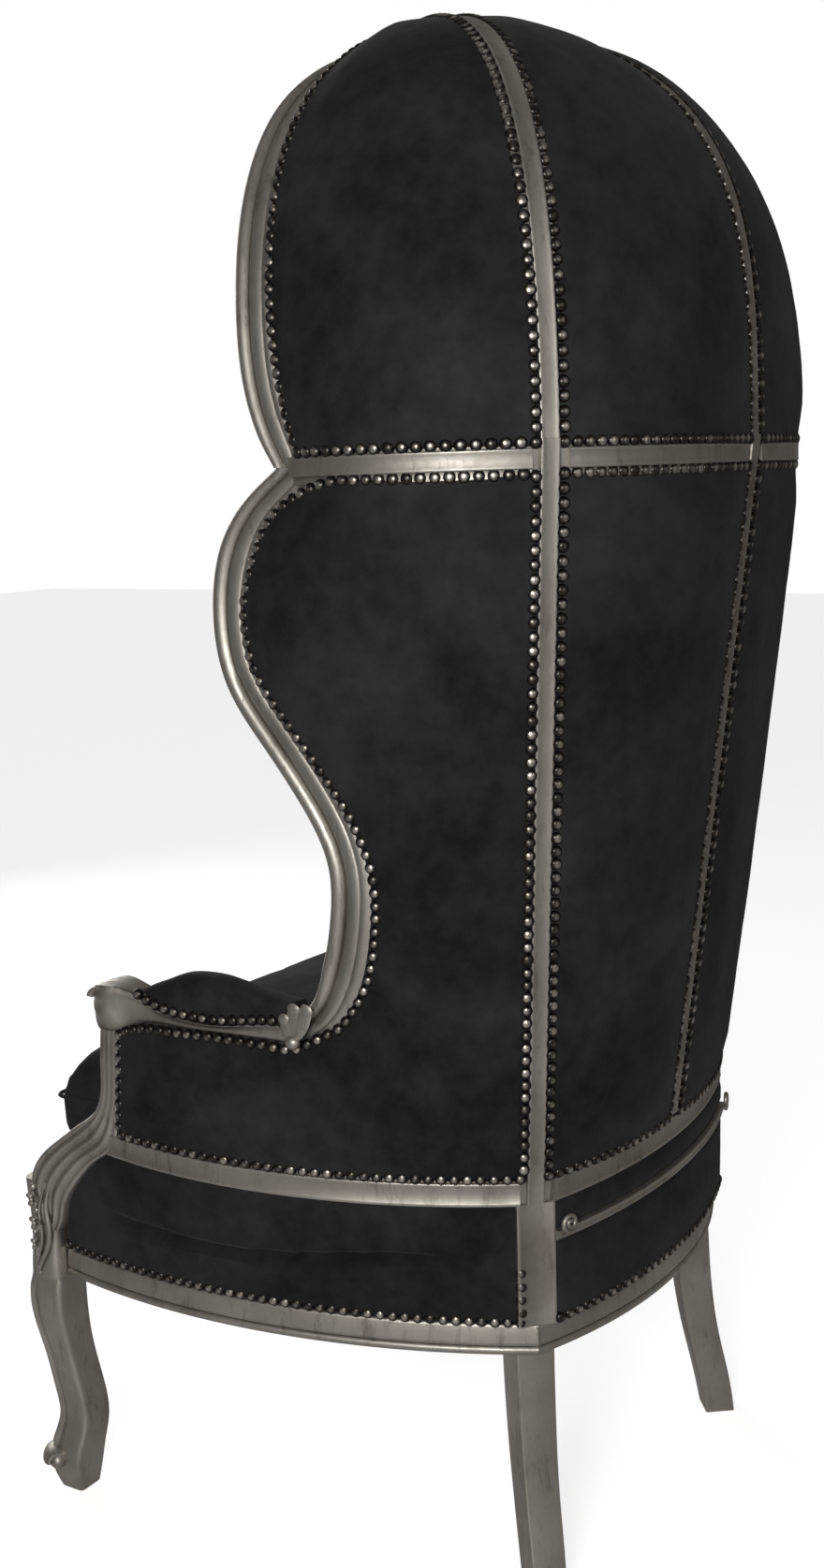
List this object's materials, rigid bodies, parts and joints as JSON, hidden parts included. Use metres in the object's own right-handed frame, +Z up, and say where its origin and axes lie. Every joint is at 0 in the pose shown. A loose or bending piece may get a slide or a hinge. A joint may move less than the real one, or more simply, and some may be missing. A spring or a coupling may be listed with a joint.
{
  "type": "hall porter chair",
  "caption": "Hooded hall porter chair with a carved silver-leaf frame, cabriole front legs, swept rear legs, dark velvet panels and a loose seat cushion.",
  "frame": {"origin": "centre of the chair's footprint on the floor, at the bottom of the legs", "axes": "+Z up, -Y the way the sitter faces, +X to the sitter's left; the chair is symmetric in x = 0"},
  "size_m": [0.7612, 0.7951, 1.6894],
  "materials": {
    "show_wood": "carved wood in aged champagne-silver leaf, satin, with darker recesses",
    "timber": "plain sawn hardwood, unfinished, hidden",
    "outer_fabric": "black short-pile velvet",
    "inner_fabric": "black short-pile velvet, padded",
    "deck_fabric": "plain black lining cloth over padding"
  },
  "bodies": {
    "chair": {"centre_back_rib": "show_wood", "centre_dome_rib": "show_wood", "crown_block": "timber", "deck_pad": "deck_fabric", "front_apron_panel": "outer_fabric", "front_left_corner_block": "timber", "front_left_leg": "show_wood", "front_right_corner_block": "timber", "front_right_leg": "show_wood", "front_seat_rail": "show_wood", "inner_back_pad": "inner_fabric", "left_apron_panel": "outer_fabric", "left_arch_moulding": "show_wood", "left_arm_pad": "inner_fabric", "left_arm_rail": "show_wood", "left_arm_support": "show_wood", "left_back_panel": "outer_fabric", "left_back_post": "show_wood", "left_dome_rib": "show_wood", "left_front_dome_panel": "outer_fabric", "left_hood_band": "show_wood", "left_hood_lining": "inner_fabric", "left_lower_band": "show_wood", "left_rear_dome_panel": "outer_fabric", "left_seat_rail": "show_wood", "left_side_pad": "inner_fabric", "left_side_panel": "outer_fabric", "left_wing_moulding": "show_wood", "rear_left_corner_block": "timber", "rear_left_hood_band": "show_wood", "rear_left_leg": "show_wood", "rear_lower_apron": "outer_fabric", "rear_lower_band": "show_wood", "rear_right_corner_block": "timber", "rear_right_hood_band": "show_wood", "rear_right_leg": "show_wood", "rear_seat_rail": "show_wood", "rear_thin_strip": "show_wood", "rear_upper_apron": "outer_fabric", "right_apron_panel": "outer_fabric", "right_arch_moulding": "show_wood", "right_arm_pad": "inner_fabric", "right_arm_rail": "show_wood", "right_arm_support": "show_wood", "right_back_panel": "outer_fabric", "right_back_post": "show_wood", "right_dome_rib": "show_wood", "right_front_dome_panel": "outer_fabric", "right_hood_band": "show_wood", "right_hood_lining": "inner_fabric", "right_lower_band": "show_wood", "right_rear_dome_panel": "outer_fabric", "right_seat_rail": "show_wood", "right_side_pad": "inner_fabric", "right_side_panel": "outer_fabric", "right_wing_moulding": "show_wood", "seat_deck": "timber"},
    "cushion": {"seat_cushion": "inner_fabric"}
  },
  "joints": [
    {"name": "cushion_lift", "type": "slide", "parent": "chair", "child": "cushion", "axis": [0, 0, 1], "range_m": [0, 0.25]}
  ]
}
